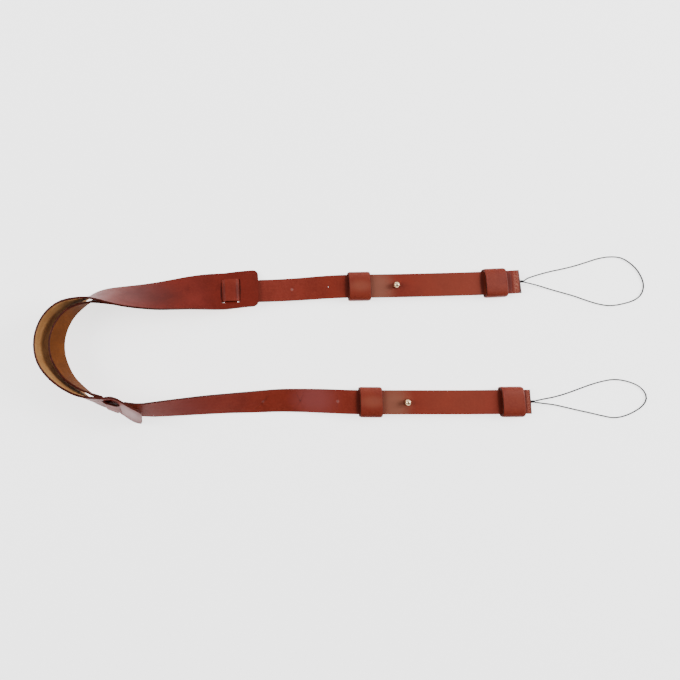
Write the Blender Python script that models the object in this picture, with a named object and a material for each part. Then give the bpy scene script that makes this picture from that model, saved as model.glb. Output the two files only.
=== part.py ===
"""Leather camera neck strap, lying as it was put down, in metres with +Z up.

A long narrow strap runs from one folded end to the other. A wide shoulder pad is threaded on its
middle through four slots. The arms lie flat, grain side up, and the bend stands on its edge.
Each arm is doubled back through two keepers, held by a ball stud, and ends in a loop of thin cord.
"""

import math
from collections import namedtuple

import bmesh
import bpy
import numpy as np
from mathutils import Matrix, Vector

# Leather
STRAP_WIDTH = 0.0200
STRAP_THICKNESS = 0.0016
PAD_WIDTH = 0.0330
PAD_THICKNESS = 0.0018
PAD_LENGTH = 0.2874
PAD_CORNER_RADIUS = 0.0050
PAD_FROM_UPPER_FOLD = 0.2255
FIT_GAP = 0.0003

# How the whole strap lies
REACH = 0.3955
SPREAD = 0.0992
BEND_GAP = 0.0075
FLAP_FLARE = 0.0060
LAY_SOFTNESS = 0.016

# Slots in the pad
SLOT_FROM_PAD_END = 0.0172
SLOT_SPACING = 0.0136
SLOT_LENGTH = 0.0050
SLOT_END_PLAY = 0.0014
RAMP_LENGTH = 0.0056

# Keepers
KEEPER_LENGTH = 0.0190
KEEPER_WALL = 0.0015
KEEPER_WIDTH = 0.0254
KEEPER_CROWN = 0.0083
KEEPER_SHOULDER = 0.0032
KEEPER_DOME_POWER = 3.0
KEEPER_FOOT_POWER = 5.0
KEEPER_FOOT_FLATNESS = 1.04
KEEPER_FROM_FOLD = {"outer": 0.0205, "inner": 0.1382}
LOWER_KEEPER_SHIFT = {"outer": -0.0061, "inner": -0.0049}

# Adjusting holes and studs
HOLE_RADIUS = 0.0013
HOLE_PITCH = 0.0315
HOLE_COUNT = 3
FIRST_HOLE_FROM_FOLD = {"upper": 0.1649, "lower": 0.1610}
STUD_FROM_FOLD = {"upper": 0.1068, "lower": 0.1031}
STUD_POST_RADIUS = 0.0011
STUD_HEAD_RADIUS = 0.0026
STUD_NECK_RADIUS = 0.0015
STUD_NECK_HEIGHT = 0.0003
STUD_BASE_RADIUS = 0.0034
STUD_BASE_THICKNESS = 0.0010

# Tails and cord loops
TAIL_PAST_KEEPER_MIDDLE = 0.0040
CORD_DIAMETER = 0.0011
CORD_EYE_RADIUS = 0.0009
KNOT_RADIUS = 0.0011
KNOT_LENGTH = 0.0028
KNOT_SWELLS = ((0.0, 0.75), (0.25, 1.0), (0.6, 0.95), (0.9, 0.65))

# Colours as linear values, with roughness and metallic value
FINISHES = {
    "pad_leather": ((0.200, 0.032, 0.017), 0.50, 0.0),
    "strap_leather": ((0.245, 0.038, 0.020), 0.48, 0.0),
    "keeper_leather": ((0.270, 0.060, 0.030), 0.45, 0.0),
    "stud_brass": ((0.640, 0.470, 0.300), 0.25, 1.0),
    "loop_cord": ((0.020, 0.020, 0.022), 0.60, 0.0),
}

# One row for each section of the strap as it lies, from the upper folded end round to the lower.
# along: share of REACH from the bend to the upper fold. across: share of SPREAD from the lower arm.
# lean: degrees from standing on edge towards lying flat, grain side up.
# seat: share of the way from resting on its own edge to riding in the standing pad.
# lift: share of the height of the doubled strap in its keepers.
# slack: share of BEND_GAP by which the strap hangs clear of the pad's inner side.
Lay = namedtuple("Lay", "along across lean seat lift slack")
LAY = (
    Lay(0.9950, 1.032, 90.0, 0.0, 1.00, 0.00),
    Lay(0.9440, 1.020, 90.0, 0.0, 1.00, 0.00),
    Lay(0.8460, 1.008, 90.0, 0.0, 1.00, 0.00),
    Lay(0.7370, 0.997, 90.0, 0.0, 1.00, 0.00),
    Lay(0.6440, 0.991, 90.0, 0.0, 1.00, 0.00),
    Lay(0.6020, 0.988, 90.0, 0.0, 1.00, 0.00),
    Lay(0.5680, 0.983, 89.0, 0.0, 0.50, 0.00),
    Lay(0.5250, 0.970, 83.0, 0.0, 0.05, 0.00),
    Lay(0.4730, 0.957, 79.0, 0.0, 0.00, 0.00),
    Lay(0.4260, 0.950, 78.5, 0.0, 0.00, 0.00),
    Lay(0.3870, 0.950, 79.5, 0.0, 0.00, 0.00),
    Lay(0.3410, 0.939, 78.5, 0.5, 0.00, 0.00),
    Lay(0.3140, 0.935, 75.0, 1.0, 0.00, 0.00),
    Lay(0.2790, 0.921, 66.5, 1.0, 0.00, 0.00),
    Lay(0.2430, 0.899, 58.5, 1.0, 0.00, 0.04),
    Lay(0.2080, 0.879, 52.0, 1.0, 0.00, 0.08),
    Lay(0.1730, 0.868, 44.5, 1.0, 0.00, 0.12),
    Lay(0.1370, 0.863, 37.0, 1.0, 0.00, 0.16),
    Lay(0.1038, 0.864, 28.0, 1.0, 0.00, 0.20),
    Lay(0.0808, 0.857, 20.0, 1.0, 0.00, 0.24),
    Lay(0.0616, 0.834, 10.0, 1.0, 0.00, 0.28),
    Lay(0.0416, 0.788, -1.0, 1.0, 0.00, 0.38),
    Lay(0.0246, 0.734, -9.0, 1.0, 0.00, 0.65),
    Lay(0.0106, 0.642, -14.0, 1.0, 0.00, 0.95),
    Lay(0.0026, 0.536, -17.0, 1.0, 0.00, 1.00),
    Lay(0.0026, 0.451, -17.0, 1.0, 0.00, 1.00),
    Lay(0.0060, 0.367, -15.5, 1.0, 0.00, 0.88),
    Lay(0.0180, 0.271, -10.5, 1.0, 0.00, 0.66),
    Lay(0.0300, 0.197, -6.0, 1.0, 0.00, 0.42),
    Lay(0.0476, 0.139, -1.0, 1.0, 0.00, 0.40),
    Lay(0.0646, 0.091, 4.0, 1.0, 0.00, 0.35),
    Lay(0.0848, 0.050, 12.0, 1.0, 0.00, 0.25),
    Lay(0.1078, 0.014, 17.0, 1.0, 0.00, 0.00),
    Lay(0.1400, -0.027, 21.0, 1.0, 0.00, 0.00),
    Lay(0.1630, -0.054, 27.0, 0.9, 0.00, 0.00),
    Lay(0.1840, -0.067, 33.0, 0.7, 0.00, 0.00),
    Lay(0.2100, -0.060, 37.5, 0.5, 0.00, 0.00),
    Lay(0.2610, -0.043, 44.0, 0.2, 0.00, 0.00),
    Lay(0.3120, -0.026, 49.5, 0.0, 0.00, 0.00),
    Lay(0.3640, -0.012, 53.5, 0.0, 0.00, 0.00),
    Lay(0.4150, -0.002, 61.0, 0.0, 0.00, 0.00),
    Lay(0.4670, 0.011, 68.5, 0.0, 0.00, 0.00),
    Lay(0.5180, 0.010, 74.0, 0.0, 0.00, 0.00),
    Lay(0.5500, 0.006, 80.0, 0.0, 0.15, 0.00),
    Lay(0.5850, 0.002, 87.0, 0.0, 0.60, 0.00),
    Lay(0.6120, -0.003, 90.0, 0.0, 1.00, 0.00),
    Lay(0.6600, -0.006, 90.0, 0.0, 1.00, 0.00),
    Lay(0.7400, -0.006, 90.0, 0.0, 1.00, 0.00),
    Lay(0.8600, -0.006, 90.0, 0.0, 1.00, 0.00),
    Lay(1.0000, -0.001, 90.0, 0.0, 1.00, 0.00),
)

# How the pad's ends sit on the strap, a row for each place along the pad, as shares of its length.
# skew: share of the pad's side margin by which it is pushed outwards. flare: share of FLAP_FLARE,
# below 0 where the pad bows away from the strap between its slots. upright: degrees by which the
# pad stands steeper than the strap.
PadSet = namedtuple("PadSet", "place skew flare upright")
PAD_SET = (
    PadSet(0.000, 0.34, 0.00, 0.0),
    PadSet(0.030, 0.24, 0.00, 0.0),
    PadSet(0.060, 0.12, 0.00, 0.0),
    PadSet(0.100, 0.00, 0.00, 0.0),
    PadSet(0.893, 0.00, 0.00, 0.0),
    PadSet(0.905, -0.08, -0.22, 0.0),
    PadSet(0.917, -0.10, -0.34, 0.0),
    PadSet(0.929, -0.10, -0.22, 0.0),
    PadSet(0.941, -0.08, 0.00, 0.0),
    PadSet(0.953, -0.06, 0.14, 2.0),
    PadSet(0.975, -0.07, 0.55, 6.0),
    PadSet(1.000, -0.14, 1.00, 11.0),
)

# Cord routes in metres from each fold's tip: forward, across towards the upper arm, and height.
Knot = namedtuple("Knot", "forward across height")
UPPER_ROUTE = (
    Knot(0.0034, 0.0006, 0.0037),
    Knot(0.0068, 0.0028, 0.0030),
    Knot(0.0175, 0.0064, 0.0014),
    Knot(0.0283, 0.0093, 0.0006),
    Knot(0.0390, 0.0116, 0.0006),
    Knot(0.0497, 0.0142, 0.0006),
    Knot(0.0605, 0.0175, 0.0006),
    Knot(0.0714, 0.0209, 0.0006),
    Knot(0.0820, 0.0225, 0.0006),
    Knot(0.0925, 0.0212, 0.0006),
    Knot(0.1020, 0.0142, 0.0006),
    Knot(0.1072, 0.0058, 0.0006),
    Knot(0.1090, -0.0030, 0.0006),
    Knot(0.1060, -0.0110, 0.0006),
    Knot(0.0994, -0.0160, 0.0006),
    Knot(0.0890, -0.0192, 0.0006),
    Knot(0.0780, -0.0207, 0.0006),
    Knot(0.0678, -0.0192, 0.0006),
    Knot(0.0576, -0.0160, 0.0006),
    Knot(0.0475, -0.0123, 0.0006),
    Knot(0.0373, -0.0093, 0.0006),
    Knot(0.0271, -0.0063, 0.0006),
    Knot(0.0168, -0.0033, 0.0014),
    Knot(0.0068, -0.0012, 0.0030),
    Knot(0.0034, -0.0006, 0.0037),
)
LOWER_ROUTE = (
    Knot(0.0034, 0.0006, 0.0037),
    Knot(0.0070, 0.0012, 0.0030),
    Knot(0.0100, 0.0018, 0.0024),
    Knot(0.0215, 0.0038, 0.0010),
    Knot(0.0319, 0.0066, 0.0006),
    Knot(0.0424, 0.0102, 0.0006),
    Knot(0.0530, 0.0139, 0.0006),
    Knot(0.0634, 0.0168, 0.0006),
    Knot(0.0736, 0.0184, 0.0006),
    Knot(0.0839, 0.0171, 0.0006),
    Knot(0.0932, 0.0135, 0.0006),
    Knot(0.0984, 0.0085, 0.0006),
    Knot(0.0998, 0.0030, 0.0006),
    Knot(0.0974, -0.0020, 0.0006),
    Knot(0.0918, -0.0066, 0.0006),
    Knot(0.0812, -0.0116, 0.0006),
    Knot(0.0708, -0.0135, 0.0006),
    Knot(0.0608, -0.0118, 0.0006),
    Knot(0.0509, -0.0095, 0.0006),
    Knot(0.0409, -0.0073, 0.0006),
    Knot(0.0310, -0.0050, 0.0006),
    Knot(0.0210, -0.0028, 0.0010),
    Knot(0.0097, -0.0014, 0.0024),
    Knot(0.0068, -0.0010, 0.0030),
    Knot(0.0034, -0.0006, 0.0037),
)

# Fineness of the solids
ARM_STEP = 0.0090
BEND_STEP = 0.0034
RAMP_STEP = 0.0008
RAMP_CLEAR = 0.62
FOLD_STEPS = 8
CORNER_STEPS = 5
HOLE_SIDES = 14
KEEPER_SIDES = 36
STUD_SIDES = 16
STUD_RINGS = 7
KNOT_SIDES = 10
LAY_STEP = 0.0010
CORD_POINTS = 64

# Sizes that follow from the ones above
CONTACT = (STRAP_THICKNESS + PAD_THICKNESS) / 2 + FIT_GAP
LAYER_PITCH = STRAP_THICKNESS + FIT_GAP
TAIL_HEIGHT = KEEPER_WALL + FIT_GAP + STRAP_THICKNESS / 2
STACK_LIFT = TAIL_HEIGHT + LAYER_PITCH - STRAP_THICKNESS / 2
PAD_MARGIN = (PAD_WIDTH - STRAP_WIDTH) / 2
SLOT_CUT_DEPTH = 3 * PAD_THICKNESS
HOLE_CUT_DEPTH = 3 * STRAP_THICKNESS
POST_CUT_DEPTH = 4 * LAYER_PITCH
EYE_CUT_DEPTH = 2.6 * STRAP_THICKNESS


def clear_scene():
    """Remove what the file already holds."""
    for old in list(bpy.data.objects):
        bpy.data.objects.remove(old, do_unlink=True)


def finish(name):
    """Return the named Principled material, made once."""
    material = bpy.data.materials.get(name)
    if material:
        return material
    colour, roughness, metallic = FINISHES[name]
    material = bpy.data.materials.new(name)
    material.use_nodes = True
    shader = material.node_tree.nodes["Principled BSDF"]
    shader.inputs["Base Color"].default_value = (*colour, 1.0)
    shader.inputs["Roughness"].default_value = roughness
    shader.inputs["Metallic"].default_value = metallic
    return material


def add_object(name, data, parent, material=None):
    """Link a named object for the data under the parent, with its material."""
    piece = bpy.data.objects.new(name, data)
    bpy.context.collection.objects.link(piece)
    piece.parent = parent
    if material:
        data.materials.append(finish(material))
    return piece


def soften(values, width):
    """Round a sampled line off over the given count of samples, keeping its ends."""
    half = max(1, width // 2)
    window = np.hanning(2 * half + 3)[1:-1]
    window /= window.sum()
    head = 2 * values[0] - values[half:0:-1]
    tail = 2 * values[-1] - values[-2 : -half - 2 : -1]
    return np.convolve(np.concatenate([head, values, tail]), window, mode="valid")


class LayLine:
    """The line that the strap follows as it lies, with its lean, by length from the upper fold."""

    def __init__(self):
        rows = np.array(LAY, float)
        plan = rows[:, :2] * (REACH, SPREAD)
        chord = np.concatenate([[0.0], np.cumsum(np.hypot(*np.diff(plan, axis=0).T))])
        fine = np.arange(0.0, chord[-1] + LAY_STEP / 2, LAY_STEP)
        width = round(LAY_SOFTNESS / LAY_STEP)
        x, y = (soften(np.interp(fine, chord, column), width) for column in plan.T)
        lean, seat, lift, slack = (
            soften(np.interp(fine, chord, column), width) for column in rows[:, 2:].T
        )
        lean = np.radians(lean)
        clear = CONTACT + slack * BEND_GAP
        own = STRAP_WIDTH / 2 * np.cos(lean) + STRAP_THICKNESS / 2 * np.abs(np.sin(lean))
        padded = PAD_WIDTH / 2 * np.cos(lean) + PAD_THICKNESS / 2 * np.abs(np.sin(lean))
        ride = np.maximum(0.0, padded - clear * np.sin(lean) - own)
        z = soften(own + seat * ride + lift * STACK_LIFT, width)
        self.points = np.stack([x, y, z], axis=1)
        steps = np.linalg.norm(np.diff(self.points, axis=0), axis=1)
        self.lengths = np.concatenate([[0.0], np.cumsum(steps)])
        self.total = self.lengths[-1]
        self.leans = lean
        self.clears = clear

    def read(self, values, length):
        """Read a sampled column at one length."""
        return float(np.interp(length, self.lengths, values))

    def place(self, length):
        """Return the point on the line at one length, running straight on past both ends."""
        inside = min(max(length, 0.0), self.total)
        spot = Vector([self.read(column, inside) for column in self.points.T])
        if inside == length:
            return spot
        return spot + self.tangent(inside) * (length - inside)

    def tangent(self, length):
        """Return the unit direction of the line at one length."""
        low = max(0.0, min(length - LAY_STEP, self.total - 2 * LAY_STEP))
        ahead = [self.read(column, low + 2 * LAY_STEP) for column in self.points.T]
        behind = [self.read(column, low) for column in self.points.T]
        return (Vector(ahead) - Vector(behind)).normalized()

    def frame(self, length):
        """Return point, tangent, width direction and grain direction at one length."""
        along = self.tangent(length)
        inward = Vector((-along.y, along.x, 0.0)).normalized()
        lean = self.read(self.leans, min(max(length, 0.0), self.total))
        width = inward * math.sin(lean) + Vector((0.0, 0.0, math.cos(lean)))
        width = (width - along * width.dot(along)).normalized()
        return self.place(length), along, width, along.cross(width).normalized()


LINE = LayLine()
PAD_START = PAD_FROM_UPPER_FOLD
PAD_FINISH = PAD_START + PAD_LENGTH
UPPER_SLOTS = tuple(PAD_START + SLOT_FROM_PAD_END + n * SLOT_SPACING for n in (0, 1))
LOWER_SLOTS = tuple(PAD_FINISH - SLOT_FROM_PAD_END - n * SLOT_SPACING for n in (1, 0))


def smooth_ramp(share):
    """Ease from 0 to 1 as the share goes from 0 to 1."""
    share = min(max(share, 0.0), 1.0)
    return share * share * (3 - 2 * share)


def over_pad(length):
    """Return 1 where the strap runs over the pad, 0 where it runs under, eased in the slots."""
    over = 0.0
    for first, second in (UPPER_SLOTS, LOWER_SLOTS):
        rise = smooth_ramp((length - first) / RAMP_LENGTH + 0.5)
        fall = smooth_ramp((length - second) / RAMP_LENGTH + 0.5)
        over += rise - fall
    return over


def pad_set(length):
    """Return the pad's sideways skew, its flare off the strap and its extra turn upright."""
    place = (length - PAD_START) / PAD_LENGTH
    places, *columns = zip(*PAD_SET)
    skew, flare, upright = (float(np.interp(place, places, column)) for column in columns)
    return skew * PAD_MARGIN, flare * FLAP_FLARE, math.radians(upright)


def pad_centre(length):
    """Return the middle of the pad's section at one length of the line."""
    spot, along, width, grain = LINE.frame(length)
    skew, flare, upright = pad_set(length)
    return spot + grain * (LINE.read(LINE.clears, length) + flare) - width * skew


def strap_centre(length):
    """Return the middle of the strap's section at one length, over or under the pad."""
    spot, along, width, grain = LINE.frame(length)
    rise = LINE.read(LINE.clears, length) + CONTACT
    return spot + grain * (rise * over_pad(length))


def section(centre, along, width, wide, thick):
    """Return the four corners of a flat band's section, square to its own direction."""
    across = (width - along * width.dot(along)).normalized()
    grain = along.cross(across).normalized()
    half = across * (wide / 2)
    rise = grain * (thick / 2)
    return [centre - half - rise, centre + half - rise, centre + half + rise, centre - half + rise]


def loft(sections):
    """Skin a row of four-cornered sections into one closed mesh."""
    mesh = bmesh.new()
    rings = [[mesh.verts.new(corner) for corner in ring] for ring in sections]
    for ring, following in zip(rings, rings[1:]):
        for n in range(len(ring)):
            after = (n + 1) % len(ring)
            mesh.faces.new((ring[n], ring[after], following[after], following[n]))
    mesh.faces.new(list(reversed(rings[0])))
    mesh.faces.new(rings[-1])
    bmesh.ops.recalc_face_normals(mesh, faces=mesh.faces)
    return mesh


def to_mesh(name, shape, sharp_degrees=35.0):
    """Turn a bmesh into mesh data, shaded smooth with its corners kept sharp."""
    data = bpy.data.meshes.new(name)
    shape.to_mesh(data)
    shape.free()
    data.shade_smooth()
    data.set_sharp_from_angle(angle=math.radians(sharp_degrees))
    return data


def spread(start, end, step):
    """Return evenly spaced lengths from start to end, both included."""
    count = max(1, round(abs(end - start) / step))
    return [start + (end - start) * n / count for n in range(count + 1)]


def without_repeats(lengths, least):
    """Sort the lengths and drop those closer than the least step to the one before."""
    kept = []
    for length in sorted(lengths):
        if not kept or length - kept[-1] >= least:
            kept.append(length)
    return kept


def cut(piece, cutter):
    """Cut the piece with a cutter that stays out of the model."""
    cutter.hide_render = True
    cutter.display_type = "WIRE"
    boolean = piece.modifiers.new(cutter.name, "BOOLEAN")
    boolean.operation = "DIFFERENCE"
    boolean.solver = "EXACT"
    boolean.object = cutter


def turned(profile, sides, frame):
    """Turn a closed profile of (radius, height) pairs round the frame's Z axis."""
    mesh = bmesh.new()
    rings = []
    for radius, height in profile:
        if radius == 0.0:
            rings.append([mesh.verts.new(frame @ Vector((0.0, 0.0, height)))] * sides)
            continue
        turns = [2 * math.pi * n / sides for n in range(sides)]
        spots = [Vector((radius * math.cos(a), radius * math.sin(a), height)) for a in turns]
        rings.append([mesh.verts.new(frame @ spot) for spot in spots])
    for ring, following in zip(rings, rings[1:]):
        for n in range(sides):
            after = (n + 1) % sides
            corners = [ring[n], ring[after], following[after], following[n]]
            mesh.faces.new(list(dict.fromkeys(corners)))
    bmesh.ops.recalc_face_normals(mesh, faces=mesh.faces)
    return mesh


def axes(spot, x_axis, y_axis, z_axis):
    """Return the matrix with the given axes and origin."""
    turn = Matrix((x_axis, y_axis, z_axis)).transposed().to_4x4()
    return Matrix.Translation(spot) @ turn


def cylinder_cutter(name, parent, spot, axis, radius, depth):
    """Add a round cutter centred on a spot, its length along an axis."""
    side = axis.orthogonal().normalized()
    frame = axes(spot, side, axis.cross(side).normalized(), axis)
    profile = [(0.0, -depth / 2), (radius, -depth / 2), (radius, depth / 2), (0.0, depth / 2)]
    return add_object(name, to_mesh(name, turned(profile, HOLE_SIDES, frame)), parent)


def box_cutter(name, parent, spot, along, width, size):
    """Add a box cutter centred on a spot, its sizes along, across and through the band."""
    through = along.cross(width).normalized()
    mesh = bmesh.new()
    bmesh.ops.create_cube(mesh, size=1.0)
    frame = axes(spot, along, width, through)
    bmesh.ops.transform(mesh, matrix=frame @ Matrix.Diagonal((*size, 1.0)), verts=mesh.verts)
    return add_object(name, to_mesh(name, mesh), parent)


def arm_length(arm, from_fold):
    """Return the length on the line at a distance from the named arm's fold."""
    return from_fold if arm == "upper" else LINE.total - from_fold


def band_frame(centre, length):
    """Return centre, direction and width direction of a band that follows a centre function."""
    step = RAMP_STEP / 4
    width = LINE.frame(length)[2]
    along = centre(length + step) - centre(length - step)
    return centre(length), (along - width * along.dot(width)).normalized(), width


def weave_lengths(start, end):
    """Return the lengths of the sections from start to end, closer together in the slots."""
    lengths = spread(start, end, BEND_STEP)
    for slot in UPPER_SLOTS + LOWER_SLOTS:
        lengths = [length for length in lengths if abs(length - slot) > RAMP_LENGTH * RAMP_CLEAR]
        lengths += spread(slot - RAMP_LENGTH / 2, slot + RAMP_LENGTH / 2, RAMP_STEP)
    return lengths


def make_pad(parent):
    """Model the pad: a flat band along the line with round corners and four slots."""
    turns = [math.pi / 2 * n / CORNER_STEPS for n in range(CORNER_STEPS + 1)]
    corner = [PAD_CORNER_RADIUS * (1 - math.cos(turn)) for turn in turns]
    inner = weave_lengths(PAD_START + PAD_CORNER_RADIUS, PAD_FINISH - PAD_CORNER_RADIUS)
    ends = [PAD_START + d for d in corner] + [PAD_FINISH - d for d in corner]
    sections = []
    for length in without_repeats(ends + inner, LAY_STEP / 50):
        depth = min(length - PAD_START, PAD_FINISH - length)
        depth = min(max(depth, 0.0), PAD_CORNER_RADIUS)
        inset = PAD_CORNER_RADIUS - math.sqrt(
            max(0.0, PAD_CORNER_RADIUS**2 - (PAD_CORNER_RADIUS - depth) ** 2)
        )
        spot, along, width = band_frame(pad_centre, length)
        width = Matrix.Rotation(pad_set(length)[2], 3, along) @ width
        sections.append(section(spot, along, width, PAD_WIDTH - 2 * inset, PAD_THICKNESS))
    pad = add_object("pad", to_mesh("pad", loft(sections)), parent, "pad_leather")
    for number, length in enumerate(UPPER_SLOTS + LOWER_SLOTS):
        spot, along, width = band_frame(pad_centre, length)
        skew = pad_set(length)[0]
        size = (SLOT_LENGTH, STRAP_WIDTH + FIT_GAP + SLOT_END_PLAY, SLOT_CUT_DEPTH)
        centre = spot + width * (skew + (SLOT_END_PLAY - FIT_GAP) / 2)
        cut(pad, box_cutter(f"slot_cutter_{number + 1}", parent, centre, along, width, size))
    return pad


def keeper_from_fold(arm, which):
    """Return a keeper's distance from its arm's fold."""
    return KEEPER_FROM_FOLD[which] + (LOWER_KEEPER_SHIFT[which] if arm == "lower" else 0.0)


def fold_sections(arm):
    """Return the sections of one arm's fold and tail, from the fold to the tail's end."""
    end, outward = (0.0, -1.0) if arm == "upper" else (LINE.total, 1.0)
    tail_length = keeper_from_fold(arm, "inner") + TAIL_PAST_KEEPER_MIDDLE
    spot, along, width, grain = LINE.frame(end)
    forward = along * outward
    radius = LAYER_PITCH / 2
    centre = spot - grain * radius
    rows = []
    for n in range(1, FOLD_STEPS + 1):
        turn = math.pi * n / FOLD_STEPS
        place = centre + grain * (radius * math.cos(turn)) + forward * (radius * math.sin(turn))
        heading = forward * math.cos(turn) - grain * math.sin(turn)
        rows.append(section(place, heading * outward, width, STRAP_WIDTH, STRAP_THICKNESS))
    for back in spread(0.0, tail_length, ARM_STEP)[1:]:
        spot, along, width, grain = LINE.frame(end - outward * back)
        place = spot - grain * LAYER_PITCH
        rows.append(section(place, -along, width, STRAP_WIDTH, STRAP_THICKNESS))
    return rows


def make_strap(parent):
    """Model the strap: tail, fold, arm, weave, bend, weave, arm, fold and tail in one band."""
    lengths = spread(0.0, PAD_START, ARM_STEP)
    lengths += weave_lengths(PAD_START + PAD_CORNER_RADIUS, PAD_FINISH - PAD_CORNER_RADIUS)
    lengths += spread(PAD_FINISH, LINE.total, ARM_STEP)
    sections = []
    for length in without_repeats(lengths, RAMP_STEP / 2):
        spot, along, width = band_frame(strap_centre, length)
        sections.append(section(spot, along, width, STRAP_WIDTH, STRAP_THICKNESS))
    sections = list(reversed(fold_sections("upper"))) + sections + fold_sections("lower")
    strap = add_object("strap", to_mesh("strap", loft(sections)), parent, "strap_leather")
    for arm in ("upper", "lower"):
        for number in range(HOLE_COUNT):
            place = arm_length(arm, FIRST_HOLE_FROM_FOLD[arm] + number * HOLE_PITCH)
            spot, along, width, grain = LINE.frame(place)
            name = f"{arm}_hole_cutter_{number + 1}"
            cut(strap, cylinder_cutter(name, parent, spot, grain, HOLE_RADIUS, HOLE_CUT_DEPTH))
        spot, along, width, grain = LINE.frame(arm_length(arm, STUD_FROM_FOLD[arm]))
        name = f"{arm}_post_cutter"
        radius = STUD_POST_RADIUS + FIT_GAP
        centre = spot - grain * (LAYER_PITCH / 2)
        cut(strap, cylinder_cutter(name, parent, centre, grain, radius, POST_CUT_DEPTH))
        name = f"{arm}_eye_cutter"
        tip, forward = fold_tip(arm)
        eye = tip - forward * STRAP_THICKNESS
        cut(strap, cylinder_cutter(name, parent, eye, forward, CORD_EYE_RADIUS, EYE_CUT_DEPTH))
    return strap


def fold_tip(arm):
    """Return the outermost point in the middle of an arm's fold and the direction out of it."""
    end, outward = (0.0, -1.0) if arm == "upper" else (LINE.total, 1.0)
    spot, along, width, grain = LINE.frame(end)
    forward = along * outward
    reach = LAYER_PITCH / 2 + STRAP_THICKNESS / 2
    return spot - grain * (LAYER_PITCH / 2) + forward * reach, forward


def keeper_outline(half_width, top, bottom, shoulder):
    """Return a keeper's closed outline as (across, height) pairs: flat foot, round sides, dome."""
    outline = []
    for n in range(KEEPER_SIDES):
        turn = 2 * math.pi * (n + 0.5) / KEEPER_SIDES
        c, s = math.cos(turn), math.sin(turn)
        power = 2 / (KEEPER_DOME_POWER if s > 0 else KEEPER_FOOT_POWER)
        across = half_width * math.copysign(abs(c) ** power, c)
        rise = abs(s) ** power
        if s > 0:
            outline.append((across, shoulder + (top - shoulder) * rise))
        else:
            drop = (shoulder - bottom) * min(1.0, rise * KEEPER_FOOT_FLATNESS)
            outline.append((across, shoulder - drop))
    return outline


def make_keeper(name, parent, length):
    """Model one keeper round the doubled strap, its foot on the surface."""
    half = KEEPER_WIDTH / 2
    outer = keeper_outline(half, KEEPER_CROWN, 0.0, KEEPER_SHOULDER)
    bore_top = KEEPER_CROWN - KEEPER_WALL
    bore = keeper_outline(half - KEEPER_WALL, bore_top, KEEPER_WALL, KEEPER_SHOULDER)
    mesh = bmesh.new()
    rings = []
    sideways = Vector((0.0, 0.0, 1.0)).cross(LINE.tangent(length)).normalized()
    for side in (-0.5, 0.5):
        spot = LINE.place(length + side * KEEPER_LENGTH)
        foot = Vector((spot.x, spot.y, 0.0))
        for outline in (outer, bore):
            points = [foot + sideways * across + Vector((0.0, 0.0, up)) for across, up in outline]
            rings.append([mesh.verts.new(point) for point in points])
    near_outer, near_bore, far_outer, far_bore = rings
    pairs = (
        (near_outer, far_outer),
        (far_outer, far_bore),
        (far_bore, near_bore),
        (near_bore, near_outer),
    )
    for ring, following in pairs:
        for n in range(KEEPER_SIDES):
            after = (n + 1) % KEEPER_SIDES
            mesh.faces.new((ring[n], ring[after], following[after], following[n]))
    bmesh.ops.recalc_face_normals(mesh, faces=mesh.faces)
    return add_object(name, to_mesh(name, mesh), parent, "keeper_leather")


def make_stud(name, parent, length):
    """Model one ball stud: base plate under the tail, post through both layers, ball on top."""
    spot, along, width, grain = LINE.frame(length)
    under = -LAYER_PITCH - STRAP_THICKNESS / 2 - FIT_GAP
    top = STRAP_THICKNESS / 2 + FIT_GAP
    profile = [
        (0.0, under - STUD_BASE_THICKNESS),
        (STUD_BASE_RADIUS, under - STUD_BASE_THICKNESS),
        (STUD_BASE_RADIUS, under),
        (STUD_POST_RADIUS, under),
        (STUD_POST_RADIUS, top),
        (STUD_NECK_RADIUS, top),
    ]
    low = math.acos(STUD_NECK_RADIUS / STUD_HEAD_RADIUS)
    centre = top + STUD_NECK_HEIGHT + STUD_HEAD_RADIUS * math.sin(low)
    for n in range(STUD_RINGS):
        turn = -low + (low + math.pi / 2) * n / STUD_RINGS
        height = centre + STUD_HEAD_RADIUS * math.sin(turn)
        profile.append((STUD_HEAD_RADIUS * math.cos(turn), height))
    profile.append((0.0, centre + STUD_HEAD_RADIUS))
    mesh = turned(profile, STUD_SIDES, axes(spot, along, grain.cross(along), grain))
    return add_object(name, to_mesh(name, mesh), parent, "stud_brass")


def make_knot(name, parent, arm):
    """Model one knot: a short stem through the fold's eye and a barrel outside it."""
    tip, forward = fold_tip(arm)
    stem = CORD_EYE_RADIUS - FIT_GAP
    profile = [(0.0, -STRAP_THICKNESS), (stem, -STRAP_THICKNESS), (stem, FIT_GAP)]
    for share, swell in KNOT_SWELLS:
        profile.append((KNOT_RADIUS * swell, FIT_GAP + KNOT_LENGTH * share))
    profile.append((0.0, FIT_GAP + KNOT_LENGTH))
    side = forward.orthogonal().normalized()
    frame = axes(tip, side, forward.cross(side).normalized(), forward)
    return add_object(name, to_mesh(name, turned(profile, KNOT_SIDES, frame)), parent, "loop_cord")


def smooth_route(points, count):
    """Read the count of points, evenly spaced, off a smooth curve through the route's points."""
    points = np.array(points, float)
    padded = np.concatenate([[2 * points[0] - points[1]], points, [2 * points[-1] - points[-2]]])
    dense = []
    for a, b, c, d in zip(padded, padded[1:], padded[2:], padded[3:]):
        for t in np.arange(0.0, 1.0, 0.1):
            dense.append(
                0.5 * (2 * b + (c - a) * t + (2 * a - 5 * b + 4 * c - d) * t**2
                       + (3 * b - a - 3 * c + d) * t**3)
            )
    dense.append(points[-1])
    dense = np.array(dense)
    run = np.concatenate([[0.0], np.cumsum(np.linalg.norm(np.diff(dense, axis=0), axis=1))])
    at = np.linspace(0.0, run[-1], count)
    return np.stack([np.interp(at, run, column) for column in dense.T], axis=1)


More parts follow.
